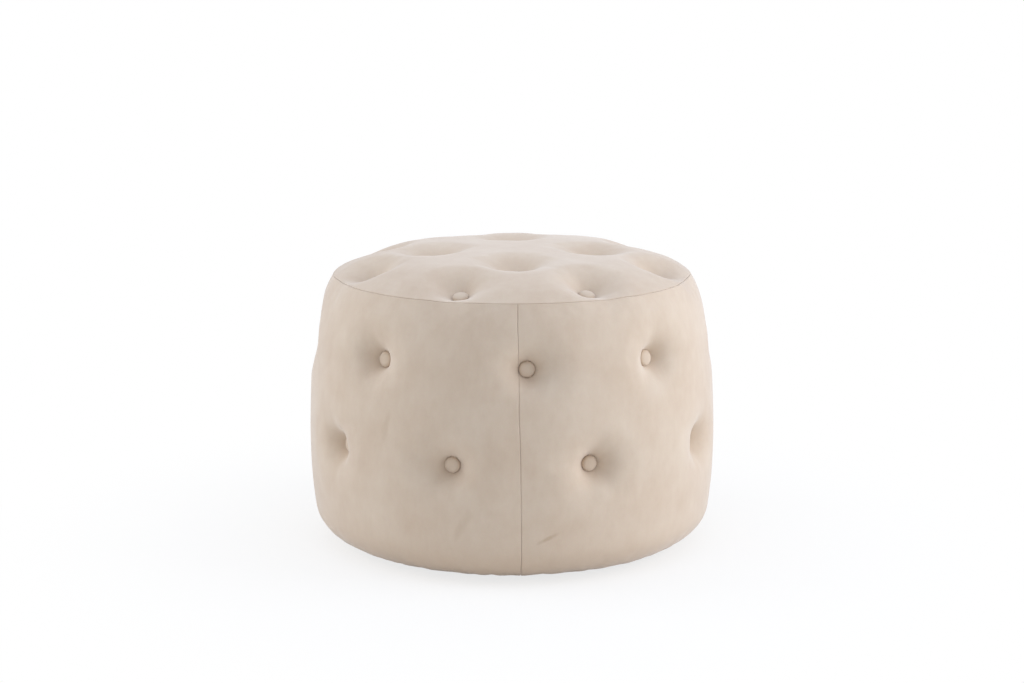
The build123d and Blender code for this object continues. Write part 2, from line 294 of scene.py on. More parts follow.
def seamAngle(height):  # the front seam leans a little, and passes beside the front button
    lean = pouf["seamLean"] * (1 - np.clip(height / pouf["seamHeight"], 0, 1))
    beside = (height - pouf["seamHeight"] + tuft["upperDrop"]) / tuft["reach"]
    return lean - pouf["seamBow"] * np.exp(-(beside**2))


mitreTop = np.array(topProfile.normal(topProfile.length))
mitreSide = np.array(sideProfile.normal(0.0))
mitre = (mitreTop + mitreSide) / (1 + mitreTop @ mitreSide)
seamGroove = {"roll": 1.4 * mm, "blend": 10 * mm}
gather = {  # small tucks where the hem turns under
    "tucks": 46,
    "height": 1.6 * mm,
    "start": 46 * mm,
    "flat": 8 * mm,  # they die away this near to the frame
    "drift": ((7, 1, 1.4), (13, 2, 0.9)),  # uneven spacing: waves round the hem, phase and size
    "soft": 0.03,  # rounds off the bottom of a tuck
    "middle": 0.6,  # mean of the folds, so that they don't add size
}


def topSurface(walks, turns):  # points of the top panel, by walk from the centre and angle
    radius, height = topProfile.at(walks)
    outR, outZ = topProfile.normal(walks)
    toSeam = topProfile.length - walks
    ease = np.clip(1 - toSeam / seamGroove["blend"], 0, 1) ** 2
    drop = seamRoll(toSeam, seamGroove["roll"])
    radius = radius - drop * (outR * (1 - ease) + mitre[0] * ease)
    height = height - drop * (outZ * (1 - ease) + mitre[1] * ease)
    points = np.empty((len(turns), len(walks), 3))
    points[..., 0] = np.sin(turns)[:, None] * radius
    points[..., 1] = -np.cos(turns)[:, None] * radius
    points[..., 2] = height
    points[..., 2] += puff(points) * fadeIn(toSeam, lumps["fade"])
    return pressTufts(points)


def sideSurface(walks, shares, side):  # side is 1 on the right, -1 on the left
    radius, height = sideProfile.at(walks)
    outR, outZ = sideProfile.normal(walks)
    ease = np.clip(1 - walks / seamGroove["blend"], 0, 1) ** 2
    drop = seamRoll(walks, seamGroove["roll"])
    radius = radius - drop * (outR * (1 - ease) + mitre[0] * ease)
    height = height - drop * (outZ * (1 - ease) + mitre[1] * ease)
    start = np.radians(seamAngle(height))
    span = math.pi - side * start
    turns = start[None, :] + side * shares[:, None] * span[None, :]
    across = shares[:, None] * span[None, :] * radius[None, :]
    toSeam = np.minimum(across, span[None, :] * radius[None, :] - across)
    groove = seamRoll(toSeam, seamGroove["roll"])
    points = np.empty((len(shares), len(walks), 3))
    out = np.empty_like(points)
    for axis, spin in ((0, np.sin(turns)), (1, -np.cos(turns))):
        points[..., axis] = spin * radius
        out[..., axis] = spin * outR
    points[..., 2] = height
    out[..., 2] = outZ
    toTurn = sideProfile.length - walks - pouf["hemWidth"]  # from where the hem lies flat on the frame
    swell = puff(points) * np.minimum(fadeIn(walks, lumps["fade"]), fadeIn(toTurn, lumps["fade"]))
    under = np.clip(1 - toTurn / gather["start"], 0, 1) ** 2 * fadeIn(toTurn, gather["flat"])
    wander = turns * gather["tucks"]
    for waves, phase, size in gather["drift"]:
        wander += size * np.sin(turns * waves + phase)
    folds = np.sqrt(np.sin(wander / 2) ** 2 + gather["soft"]) - gather["middle"]
    swell += folds * gather["height"] * under
    points += (swell - groove)[..., None] * out
    return pressTufts(points)


def selectNone():
    bpy.ops.object.select_all(action="DESELECT")


def meshPoints(mesh):
    flat = np.empty(len(mesh.vertices) * 3)
    mesh.vertices.foreach_get("co", flat)
    return flat.reshape(-1, 3)


def newGrid(name, columns, rows):  # a flat piece, one face for each step
    selectNone()
    bpy.ops.mesh.primitive_grid_add(x_subdivisions=columns, y_subdivisions=rows, size=2)
    piece = bpy.context.object
    piece.name = piece.data.name = name
    flat = meshPoints(piece.data)
    column = np.rint((flat[:, 0] + 1) / 2 * columns).astype(int)
    row = np.rint((flat[:, 1] + 1) / 2 * rows).astype(int)
    return piece, column, row


def shapeGrid(name, points):  # moves a grid's vertices onto points[column, row]
    piece, column, row = newGrid(name, points.shape[0] - 1, points.shape[1] - 1)
    piece.data.vertices.foreach_set("co", points[column, row].reshape(-1))
    piece.data.update()
    return piece


weldGap = 0.02 * mm


def weld(piece, outward):  # closes seams and poles, and turns the faces the way that outward gives
    bpy.ops.object.mode_set(mode="EDIT")
    bpy.ops.mesh.select_all(action="SELECT")
    bpy.ops.mesh.remove_doubles(threshold=weldGap)
    bpy.ops.object.mode_set(mode="OBJECT")
    total = sum(face.normal.dot(outward(face.center)) * face.area for face in piece.data.polygons)
    if total < 0:
        bpy.ops.object.mode_set(mode="EDIT")
        bpy.ops.mesh.select_all(action="SELECT")
        bpy.ops.mesh.flip_normals()
        bpy.ops.object.mode_set(mode="OBJECT")
    bpy.ops.object.shade_smooth()


def applyModifier(piece, kind, **settings):
    modifier = piece.modifiers.new(kind.lower(), kind)
    for key, value in settings.items():
        setattr(modifier, key, value)
    selectNone()
    piece.select_set(True)
    bpy.context.view_layer.objects.active = piece
    bpy.ops.object.modifier_apply(modifier=modifier.name)


def outFromMiddle(point):
    return point - Vector((0, 0, pouf["seamHeight"] / 2))


padding = {
    "columns": 240,
    "step": 5 * mm,
    "wallRows": 30,
    "wallGap": 0.4 * mm,
    "middle": 20 * mm,  # about the middle of a layer's thickness, out from the frame
}
waddingLayer = {"lip": 3.0 * mm, "under": 4.5 * mm, "innerLip": 9.6 * mm, "innerUnder": 7.5 * mm}
foamLayer = {"lip": 10 * mm, "under": 8.2 * mm}


def paddedPoints(profile, walks, turns, lip, under, seamAtStart):  # a layer's face, below the velvet
    radius, height = profile.at(walks)
    outR, outZ = profile.normal(walks)
    toSeam = walks if seamAtStart else profile.length - walks
    ease = np.clip(1 - toSeam / (2 * lip + seamGroove["blend"]), 0, 1) ** 2
    radius = np.maximum(radius - lip * (outR * (1 - ease) + mitre[0] * ease), 0)
    height = height - lip * (outZ * (1 - ease) + mitre[1] * ease)
    points = np.empty((len(turns), len(walks), 3))
    points[..., 0] = np.sin(turns)[:, None] * radius
    points[..., 1] = -np.cos(turns)[:, None] * radius
    points[..., 2] = height
    return pressTufts(points, lip, under)


def plainRing(corners, turns):  # straight inner faces, by radius and height
    corners = np.array(corners)
    points = np.empty((len(turns), len(corners), 3))
    points[..., 0] = np.sin(turns)[:, None] * corners[:, 0]
    points[..., 1] = -np.cos(turns)[:, None] * corners[:, 0]
    points[..., 2] = corners[:, 1]
    return points


def outFromRing(point):  # away from the middle of a ring's section
    across = Vector((point.x, point.y, 0)).normalized() * (pouf["wallOuter"] + padding["middle"])
    return point - (across + Vector((0, 0, pouf["seamHeight"] / 2)))


def outFromDisc(point):
    return point - Vector((0, 0, pouf["boardTop"] + padding["middle"]))


def closedSkin(name, faces, loops, outward):  # a closed piece from faces that follow round a section
    points = np.concatenate(faces, axis=1)
    if loops:
        points = np.concatenate([points, points[:, :1]], axis=1)
    piece = shapeGrid(name, points)
    weld(piece, outward)
    return piece


stuffing = {
    "voxel": 6 * mm,
    "frames": 20,
    "pressure": 8.0,
    "spare": 0.012,  # velvet cut this much larger than the form
    "cap": 3 * mm,
    "kept": 0.6,  # share of the movement that the finished panels take
    "held": 8 * mm,  # velvet this near to a seam or a button's seat doesn't move
    "topRows": 60,
    "sideRows": 100,
    "neighbours": 8,  # points of the skin that a point of a panel follows
    "blend": 3 * mm,
}


def makeSkin():  # closed skin of the stuffed cover
    turns = np.linspace(0, 2 * math.pi, padding["columns"] + 1)
    topWalks = np.linspace(0, topProfile.length, stuffing["topRows"])
    sideWalks = np.linspace(0, sideProfile.length, stuffing["sideRows"])[1:]
    top = paddedPoints(topProfile, topWalks, turns, 0, 0, False)
    side = paddedPoints(sideProfile, sideWalks, turns, 0, 0, True)
    floor = plainRing([(0, pouf["bottom"])], turns)
    return closedSkin("stuffedSkin", [top, side, floor], False, outFromMiddle)


def heldPoints(points):  # true where the velvet is sewn, stapled or pulled down
    radius = np.hypot(points[:, 0], points[:, 1])
    held = np.hypot(radius - pouf["seamRadius"], points[:, 2] - pouf["seamHeight"]) < stuffing["held"]
    held |= (np.abs(points[:, 0]) < stuffing["held"]) & (points[:, 2] < pouf["seamHeight"])
    held |= (points[:, 2] < pouf["bottom"] + stuffing["held"]) & (radius < pouf["wallOuter"])
    for one in allTufts:
        held |= np.linalg.norm(points - one.seat, axis=1) < tuft["seat"] + stuffing["held"]
    return held


def stuffCover():  # swells the skin as cloth, and keeps how far each point moved
    skin = makeSkin()
    applyModifier(skin, "REMESH", mode="VOXEL", voxel_size=stuffing["voxel"])
    before = meshPoints(skin.data)
    group = skin.vertex_groups.new(name="held")
    group.add([int(index) for index in np.flatnonzero(heldPoints(before))], 1.0, "REPLACE")
    modifier = skin.modifiers.new("cloth", "CLOTH")
    settings = modifier.settings
    settings.vertex_group_mass = "held"
    settings.use_pressure = True
    settings.uniform_pressure_force = stuffing["pressure"]
    settings.shrink_min = -stuffing["spare"]
    settings.effector_weights.gravity = 0
    modifier.point_cache.frame_start = 1
    modifier.point_cache.frame_end = stuffing["frames"]
    for frameNumber in range(1, stuffing["frames"] + 1):
        bpy.context.scene.frame_set(frameNumber)
    selectNone()
    skin.select_set(True)
    bpy.context.view_layer.objects.active = skin
    bpy.ops.object.modifier_apply(modifier="cloth")
    moved = meshPoints(skin.data) - before
    bpy.context.scene.frame_set(1)
    bpy.data.objects.remove(skin)
    length = np.linalg.norm(moved, axis=1)
    moved *= stuffing["kept"] * np.minimum(1, stuffing["cap"] / np.maximum(length, 1e-9))[:, None]
    spread = np.round(np.percentile(length, (5, 50, 95, 100)) / mm, 2)
    print("stuffed skin:", len(before), "points, moved", spread, "mm")
    tree = KDTree(len(before))
    for index, point in enumerate(before):
        tree.insert(point, index)
    tree.balance()
    return tree, moved


skinTree, skinMoved = stuffCover()


def swellOut(points):  # carries the skin's movement over to a panel
    if skinTree is None:
        return points
    flat = points.reshape(-1, 3)
    moves = np.empty_like(flat)
    for index, point in enumerate(flat):
        found = skinTree.find_n(point, stuffing["neighbours"])
        weights = np.array([1 / (distance + stuffing["blend"]) ** 2 for _, _, distance in found])
        moves[index] = weights @ skinMoved[[place for _, place, _ in found]] / weights.sum()
    return (flat + moves).reshape(points.shape)


velvetSheet = {"thickness": 1.4 * mm, "step": 3.0 * mm, "topColumns": 300}


def makeTopPanel():
    walks = graded(topProfile.length, velvetSheet["step"], rollSteps)
    walks = walks[walks >= rollSteps[-1] / 2]  # no crowding at the middle
    walks = np.concatenate([[0], walks])
    turns = np.linspace(0, 2 * math.pi, velvetSheet["topColumns"] + 1)
    panel = shapeGrid("velvetTopPanel", swellOut(topSurface(walks, turns)))
    weld(panel, outFromMiddle)
    applyModifier(panel, "SOLIDIFY", thickness=velvetSheet["thickness"], offset=-1)
    return panel


def makeSidePanel(name, side):
    walks = graded(sideProfile.length, velvetSheet["step"], rollSteps)
    half = math.pi * pouf["widest"]
    shares = graded(half, velvetSheet["step"], rollSteps) / half
    panel = shapeGrid(name, swellOut(sideSurface(walks, shares, side)))
    weld(panel, outFromMiddle)
    applyModifier(panel, "SOLIDIFY", thickness=velvetSheet["thickness"], offset=-1)
    return panel


topPanel = makeTopPanel()
leftPanel = makeSidePanel("velvetSideLeft", -1)
rightPanel = makeSidePanel("velvetSideRight", 1)
print("velvet panels:", [len(piece.data.polygons) for piece in (topPanel, leftPanel, rightPanel)])


def makePadding():
    turns = np.linspace(0, 2 * math.pi, padding["columns"] + 1)
    topWalks = np.linspace(0, topProfile.length, round(topProfile.length / padding["step"]))
    radius, _ = sideProfile.at(sideProfile.walk)
    lastWalk = sideProfile.walk[radius >= pouf["wallOuter"] + padding["wallGap"]][-1]
    sideWalks = np.linspace(0, lastWalk, round(lastWalk / padding["step"]))
    wadding, foam = waddingLayer, foamLayer
    pieces = {}
    upper = paddedPoints(topProfile, topWalks, turns, wadding["lip"], wadding["under"], False)
    lower = paddedPoints(
        topProfile, topWalks[::-1], turns, wadding["innerLip"], wadding["innerUnder"], False,
    )
    pieces["top_wadding"] = closedSkin("topWadding", [upper, lower], False, outFromDisc)
    upper = paddedPoints(topProfile, topWalks, turns, foam["lip"], foam["under"], False)
    board = pouf["boardTop"] + padding["wallGap"]
    floor = plainRing([(pouf["wallOuter"], board), (pouf["wallOuter"] / 2, board), (0, board)], turns)
    pieces["top_foam"] = closedSkin("topFoam", [upper, floor], False, outFromDisc)
    outer = paddedPoints(sideProfile, sideWalks, turns, wadding["lip"], wadding["under"], True)
    inner = paddedPoints(
        sideProfile, sideWalks[::-1], turns, wadding["innerLip"], wadding["innerUnder"], True,
    )
    pieces["side_wadding"] = closedSkin("sideWadding", [outer, inner], True, outFromRing)
    outer = paddedPoints(sideProfile, sideWalks, turns, foam["lip"], foam["under"], True)
    wall = pouf["wallOuter"] + padding["wallGap"]
    low = float(outer[0, -1, 2])
    shares = np.linspace(0, 1, padding["wallRows"])
    inner = plainRing([(wall, low + (pouf["boardTop"] - low) * share) for share in shares], turns)
    pieces["side_foam"] = closedSkin("sideFoam", [outer, inner], True, outFromRing)
    return pieces


paddingPieces = makePadding()
print("padding:", {name: len(piece.data.polygons) for name, piece in paddingPieces.items()})

button = {
    "radius": 10.5 * mm,
    "height": 7.0 * mm,
    "sides": 48,
    "pleats": 22,
    "pleatDepth": 0.16 * mm,
    "pleatTop": 0.6,  # share of the height where the pleats end
    "pleatStart": 0.8,  # share of the radius where they begin
    # radius share and height share of each ring, from the back to the face
    "rings": [
        (0.92, 0.0), (0.985, 0.12), (1.0, 0.28), (0.985, 0.45),
        (0.935, 0.62), (0.84, 0.77), (0.65, 0.89), (0.4, 0.97),
    ],
}


def makeButton():  # a velvet-covered button, its back on z = 0
    selectNone()
    backRadius = button["radius"] * button["rings"][0][0]
    bpy.ops.mesh.primitive_circle_add(vertices=button["sides"], radius=backRadius, fill_type="NGON")
    piece = bpy.context.object
    bpy.ops.object.mode_set(mode="EDIT")
    bpy.ops.mesh.select_all(action="SELECT")
    for (lastShare, lastHigh), (share, high) in zip(button["rings"], button["rings"][1:]):
        rise = (high - lastHigh) * button["height"]
        bpy.ops.mesh.extrude_region_move(TRANSFORM_OT_translate={"value": (0, 0, rise)})
        bpy.ops.transform.resize(value=(share / lastShare, share / lastShare, 1))
    bpy.ops.mesh.poke()
    bpy.ops.mesh.select_all(action="SELECT")
    bpy.ops.mesh.normals_make_consistent(inside=False)
    bpy.ops.object.mode_set(mode="OBJECT")
    for vertex in piece.data.vertices:  # the velvet is gathered round the rim
        spread = math.hypot(vertex.co.x, vertex.co.y)
        low = max(0.0, 1 - vertex.co.z / (button["pleatTop"] * button["height"]))
        if spread > button["pleatStart"] * button["radius"]:
            turn = math.atan2(vertex.co.y, vertex.co.x)
            grow = 1 + button["pleatDepth"] * low * math.cos(button["pleats"] * turn) / spread
            vertex.co.x *= grow
            vertex.co.y *= grow
        elif spread < mm and vertex.co.z > button["height"] / 2:  # the middle of the face
            vertex.co.z = button["height"]
    applyModifier(piece, "SUBSURF", levels=1, render_levels=1)
    bpy.ops.object.shade_smooth()
    return piece


def placeButtons():
    master = makeButton()
    rows = {}
    for name, tufts in tuftRows.items():
        copies = []
        for one in tufts:
            copy = master.copy()
            copy.data = master.data.copy()
            copy.data.transform(one.matrix())
            bpy.context.collection.objects.link(copy)
            copies.append(copy)
        selectNone()
        for copy in copies:
            copy.select_set(True)
        bpy.context.view_layer.objects.active = copies[0]
        bpy.ops.object.join()
        rows[name] = bpy.context.object
        rows[name].name = rows[name].data.name = "".join(word.capitalize() for word in name.split("_"))
    bpy.data.objects.remove(master)
    return rows


buttonRows = placeButtons()
print("buttons:", {name: len(piece.data.polygons) for name, piece in buttonRows.items()})

dustCloth = {
    "columns": 192,
    "rows": 52,
    "thickness": 0.45 * mm,
    "sag": 0.12 * mm,
    "middleSag": 0.4,  # share of the sag that the middle has
    "edge": 6,  # the higher, the nearer to the edge the waves between the staples stay
    "staples": 24,
}


def makeDustCover():  # thin cloth, taut between its staples
    _, (_, radius, level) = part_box("dust_cover")
    turns = np.linspace(0, 2 * math.pi, dustCloth["columns"] + 1)
    radii = np.linspace(0, radius, dustCloth["rows"])
    points = plainRing([(r, level) for r in radii], turns)
    share = radii[None, :] / radius
    wave = 0.5 + 0.5 * np.cos(turns[:, None] * dustCloth["staples"])
    edge, middle = share ** dustCloth["edge"], dustCloth["middleSag"] * (1 - share**2)
    points[..., 2] -= dustCloth["sag"] * (wave * edge + middle)
    cloth = shapeGrid("dustCover", points)
    weld(cloth, lambda point: Vector((0, 0, -1)))
    applyModifier(cloth, "SOLIDIFY", thickness=dustCloth["thickness"], offset=1)
    return cloth, radius


dustCover, dustRadius = makeDustCover()
print("dust cover:", len(dustCover.data.polygons))


def hexColour(text):  # sRGB hex to linear
    channels = [int(text[i:i + 2], 16) / 255 for i in (1, 3, 5)]
    return tuple(c / 12.92 if c <= 0.04045 else ((c + 0.055) / 1.055) ** 2.4 for c in channels) + (1.0,)


def perMetre(size):  # texture scale for features of that many millimetres
    return 1 / (size * mm)


def addNode(tree, kind, inputs=None, **settings):
    node = tree.nodes.new(kind)
    for key, value in settings.items():
        setattr(node, key, value)
    for key, value in (inputs or {}).items():
        if isinstance(value, bpy.types.NodeSocket):
            tree.links.new(value, node.inputs[key])
        else:
            node.inputs[key].default_value = value
    return node


def newMaterial(name):
    material = bpy.data.materials.new(name)
    material.use_nodes = True
    material.node_tree.nodes.clear()
    return material, material.node_tree


toneStops = (0.3, 0.7)  # where a noise shows the first tone only, and the second
# Places where the nap was brushed the other way: middle in metres, turn in degrees, half its size in mm
napMarks = [
    {"at": (0.0365, -0.263, 0.068), "turn": 26, "half": (21, 3.8), "shade": 0.15},
    {"at": (-0.165, -0.215, 0.205), "turn": 78, "half": (26, 7.0), "shade": 0.06},
    {"at": (-0.07, -0.262, 0.085), "turn": 62, "half": (30, 9.0), "shade": 0.06},
    {"at": (0.120, 0.240, 0.230), "turn": -55, "half": (28, 9.0), "shade": 0.05},
]
# the hem tone is painted shade, laid on the velvet just above the floor
velvetTones = {"face": ("#ccb8a3", "#d7c7b4"), "crushed": "#b79f86", "hem": "#bfa78e", "sheen": "#f4f4f6"}
velvetPile = {  # sizes in millimetres, where no note says otherwise
    "cloud": 60,  # patches where the nap lies one way
    "streak": 11,  # brush strokes, drawn out downwards
    "stretch": 0.45,
    "streakShare": 0.3,
    "fibre": 1.6,  # drawn coarser than real pile, which wouldn't show
    "speckle": 0.06,
    "reliefShare": 0.35,
    "relief": 0.5,
    "reliefStrength": 0.12,
    "markDepth": 0.05,  # metres: a mark colours the velvet but not the far side
    "markRagged": 0.9,
    "markEdge": (0.6, 1.5),
    "markGain": 4,
    "hemUneven": -0.07,
    "hemBand": (-0.03, 0.03),  # metres above the floor, before the unevenness
    "hemShade": 0.45,
}


def velvetWoven():  # short cut pile: dull face-on, pale at a grazing angle, mottled by the lie of the nap
    pile = velvetPile
    material, tree = newMaterial("velvetWovenBeige")
    place = addNode(tree, "ShaderNodeTexCoord").outputs["Object"]
    cloud = addNode(tree, "ShaderNodeTexNoise", {
        "Vector": place, "Scale": perMetre(pile["cloud"]), "Detail": 4.0, "Roughness": 0.55,
    })
    brushed = addNode(tree, "ShaderNodeMapping", {"Vector": place, "Scale": (1.0, 1.0, pile["stretch"])})
    nap = addNode(tree, "ShaderNodeTexNoise", {
        "Vector": brushed.outputs[0], "Scale": perMetre(pile["streak"]), "Detail": 4.0, "Roughness": 0.6,
    })
    lie = addNode(tree, "ShaderNodeMix", {
        "Factor": pile["streakShare"], "A": cloud.outputs["Fac"], "B": nap.outputs["Fac"],
    })
    fibre = addNode(tree, "ShaderNodeTexNoise", {
        "Vector": place, "Scale": perMetre(pile["fibre"]), "Detail": 2.0,
    })
    ramp = addNode(tree, "ShaderNodeValToRGB", {"Fac": lie.outputs[0]})
    for stop, position, tone in zip(ramp.color_ramp.elements, toneStops, velvetTones["face"]):
        stop.position, stop.color = position, hexColour(tone)
    colour = ramp.outputs["Color"]
    for mark in napMarks:
        turn = math.atan2(mark["at"][0], -mark["at"][1])
        settled = addNode(tree, "ShaderNodeMapping", {
            "Vector": place, "Location": mark["at"], "Rotation": (0, -math.radians(mark["turn"]), turn),
            "Scale": (mark["half"][0] * mm, pile["markDepth"], mark["half"][1] * mm),
        }, vector_type="TEXTURE")
        away = addNode(tree, "ShaderNodeVectorMath", {0: settled.outputs[0]}, operation="LENGTH")
        ragged = addNode(tree, "ShaderNodeMath", {
            0: nap.outputs["Fac"], 1: pile["markRagged"], 2: away.outputs["Value"],
        }, operation="MULTIPLY_ADD")
        shade = addNode(tree, "ShaderNodeMapRange", {
            "Value": ragged.outputs[0], "From Min": pile["markEdge"][0], "From Max": pile["markEdge"][1],
            "To Min": pile["markGain"] * mark["shade"], "To Max": 0.0,
        }, interpolation_type="SMOOTHSTEP")
        colour = addNode(tree, "ShaderNodeMix", {
            "Factor": shade.outputs["Result"], "A": colour, "B": hexColour(velvetTones["crushed"]),
        }, data_type="RGBA").outputs[2]
    level = addNode(tree, "ShaderNodeSeparateXYZ", {"Vector": place})
    uneven = addNode(tree, "ShaderNodeMath", {
        0: cloud.outputs["Fac"], 1: pile["hemUneven"], 2: level.outputs["Z"],
    }, operation="MULTIPLY_ADD")
    paintedFloorShade = addNode(tree, "ShaderNodeMapRange", {  # painted shade: a little darker near the floor, where the hem turns under
        "Value": uneven.outputs[0], "From Min": pile["hemBand"][0], "From Max": pile["hemBand"][1],
        "To Min": pile["hemShade"], "To Max": 0.0,
    }, interpolation_type="SMOOTHSTEP")
    colour = addNode(tree, "ShaderNodeMix", {
        "Factor": paintedFloorShade.outputs["Result"], "A": colour, "B": hexColour(velvetTones["hem"]),
    }, data_type="RGBA").outputs[2]
    speckle = addNode(tree, "ShaderNodeMix", {
        "Factor": pile["speckle"], "A": colour, "B": fibre.outputs["Color"],
    }, data_type="RGBA", blend_type="OVERLAY")
    height = addNode(tree, "ShaderNodeMix", {
        "Factor": pile["reliefShare"], "A": fibre.outputs["Fac"], "B": nap.outputs["Fac"],
    })
    bump = addNode(tree, "ShaderNodeBump", {
        "Height": height.outputs[0], "Strength": pile["reliefStrength"], "Distance": pile["relief"] * mm,
    })
    shader = addNode(tree, "ShaderNodeBsdfPrincipled", {
        "Base Color": speckle.outputs[2], "Roughness": 0.92, "IOR": 1.45, "Specular IOR Level": 0.2,
        "Sheen Weight": 0.5, "Sheen Roughness": 0.42, "Sheen Tint": hexColour(velvetTones["sheen"]),
        "Normal": bump.outputs[0],
    })
    addNode(tree, "ShaderNodeOutputMaterial", {"Surface": shader.outputs[0]})
    return material


# Two tones and a grain for each inner material: grain is in millimetres along X, Y and Z
plainMaterials = {
    "foam": {  # cut polyurethane foam: cream, matt, finely pitted
        "name": "foamCutPolyurethane", "tones": ("#e0d3a8", "#efe6c6"), "grain": (1.6, 1.6, 1.6),
        "rough": (0.9, 1.0), "relief": 0.5,
    },
    "wadding": {  # bonded polyester wadding: white, soft, with loose fibres
        "name": "waddingBondedPolyester", "tones": ("#e6e5e1", "#fbfaf7"), "grain": (2, 2, 14),
        "rough": (0.9, 1.0), "relief": 0.6,
    },
    "plywood": {  # sanded birch ply: pale long grain
        "name": "plywoodSandedBirch", "tones": ("#c9a777", "#e2c899"), "grain": (60, 3, 3),
        "rough": (0.55, 0.7), "relief": 0.08,
    },
    "pine": {  # planed pine: yellow, with darker grain along the post
        "name": "pinePlaned", "tones": ("#c98f52", "#e8c692"), "grain": (4, 4, 90),
        "rough": (0.5, 0.65), "relief": 0.08,
    },
    "hardboard": {  # pressed hardboard: brown, smooth, with short pale fibres
        "name": "hardboardPressed", "tones": ("#6d4a2e", "#94693f"), "grain": (5, 5, 2),
        "rough": (0.45, 0.6), "relief": 0.05,
    },
    "zinc_steel": {  # zinc-plated steel: cool grey with a soft cloudy gloss
        "name": "steelZincPlated", "tones": ("#a9adb2", "#c6c9cc"), "grain": (3, 3, 3),
        "rough": (0.28, 0.45), "relief": 0.02, "metal": 1.0,
    },
    "shell_metal": {  # stamped tinplate: bright, slightly brushed
        "name": "tinplateStamped", "tones": ("#b9babb", "#d3d4d5"), "grain": (6, 0.8, 0.8),
        "rough": (0.22, 0.38), "relief": 0.02, "metal": 1.0,
    },
    "twine": {  # waxed polyester twine: off-white, twisted
        "name": "twineTwistedPolyester", "tones": ("#cfc6b0", "#efe9da"), "grain": (0.7, 0.7, 0.7),
        "rough": (0.6, 0.75), "relief": 0.25,
    },
    "beech": {  # turned beech: pink-brown with short flecks
        "name": "beechTurned", "tones": ("#b98a5f", "#d8b48a"), "grain": (1, 1, 6),
        "rough": (0.5, 0.65), "relief": 0.06,
    },
    "dust_cloth": {  # spun-bonded dust cloth: charcoal, thin, with a fine web of fibres
        "name": "dustClothSpunbonded", "tones": ("#232325", "#38383b"), "grain": (2.5, 1.2, 1.2),
        "rough": (0.8, 0.95), "relief": 0.15,
    },
    "glide_plastic": {  # moulded polypropylene: black with a fine satin texture
        "name": "polypropyleneMoulded", "tones": ("#17171a", "#232326"), "grain": (0.8, 0.8, 0.8),
        "rough": (0.38, 0.52), "relief": 0.04,
    },
}
broadPatch = {"size": 45, "share": 0.3}  # slow change of tone over each inner material, in millimetres


def grainedMaterial(made):  # two tones, a roughness that follows them, and a little relief
    material, tree = newMaterial(made["name"])
    place = addNode(tree, "ShaderNodeTexCoord").outputs["Object"]
    scale = tuple(perMetre(size) for size in made["grain"])
    stretched = addNode(tree, "ShaderNodeMapping", {"Vector": place, "Scale": scale})
    grain = addNode(tree, "ShaderNodeTexNoise", {
        "Vector": stretched.outputs[0], "Scale": 1.0, "Detail": 3.0, "Distortion": 0.4,
    })
    broad = addNode(tree, "ShaderNodeTexNoise", {
        "Vector": place, "Scale": perMetre(broadPatch["size"]), "Detail": 2.0,
    })
    both = addNode(tree, "ShaderNodeMix", {
        "Factor": broadPatch["share"], "A": grain.outputs["Fac"], "B": broad.outputs["Fac"],
    })
    rough = addNode(tree, "ShaderNodeMapRange", {
        "Value": both.outputs[0], "To Min": made["rough"][0], "To Max": made["rough"][1],
    })
    bump = addNode(tree, "ShaderNodeBump", {
        "Height": grain.outputs["Fac"], "Strength": 0.5, "Distance": made["relief"] * mm,
    })
    ramp = addNode(tree, "ShaderNodeValToRGB", {"Fac": both.outputs[0]})
    for stop, position, tone in zip(ramp.color_ramp.elements, toneStops, made["tones"]):
        stop.position, stop.color = position, hexColour(tone)
    shader = addNode(tree, "ShaderNodeBsdfPrincipled", {
        "Base Color": ramp.outputs["Color"], "Roughness": rough.outputs["Result"],
        "Metallic": made.get("metal", 0.0), "Normal": bump.outputs[0],
    })
    addNode(tree, "ShaderNodeOutputMaterial", {"Surface": shader.outputs[0]})
    return material


velvet = velvetWoven()
materials = {slot: grainedMaterial(made) for slot, made in plainMaterials.items()}
slotNodes = {
    "plywood": ["top_board", "base_ring"],
    "pine": [f"post_{number}" for number in range(1, 9)],
    "hardboard": ["wall_panel"],
    "zinc_steel": [
        "top_board_screws", "base_ring_screws", "wall_staples", "cover_staples",
        "dust_cover_staples", "button_backs", "glide_nails",
    ],
    "shell_metal": ["button_shells"],
    "twine": ["tuft_twines"],
    "beech": ["tuft_toggles"],
    "glide_plastic": ["glides"],
}


def dress(piece, material):
    if piece.material_slots:
        for slot in piece.material_slots:
            slot.material = material
    else:
        piece.data.materials.append(material)


for slot, names in slotNodes.items():
    for name in names:
        dress(nodes[name], materials[slot])
for piece in (topPanel, leftPanel, rightPanel, *buttonRows.values()):
    dress(piece, velvet)
for node, piece in paddingPieces.items():
    dress(piece, materials["foam" if "foam" in node else "wadding"])
dress(dustCover, materials["dust_cloth"])
print("materials:", len(materials) + 1)

velvetPanels = {"cover_top_panel": topPanel, "cover_side_left": leftPanel, "cover_side_right": rightPanel}
for node, piece in velvetPanels.items():
    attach(piece, "root")
    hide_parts(node)
for node, piece in buttonRows.items():
    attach(piece, "root")
    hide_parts(node)
for node, piece in paddingPieces.items():
    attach(piece, "root")
    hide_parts(node)
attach(dustCover, "root")
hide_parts("dust_cover")

stage = {
    "floor": 14.0,
    "offset": (2.5, -1.0, 0),  # keeps the quad's diagonal out from under the pouf
    "floorColour": "#f4f3f1",
    "shadowShare": 0.24,  # how much of the floor's own shading the camera sees beside the pouf
    "shadowStart": 0.25,
    "shadowReach": 0.75,
    "fill": 0.565,  # strength of the world on the object
}


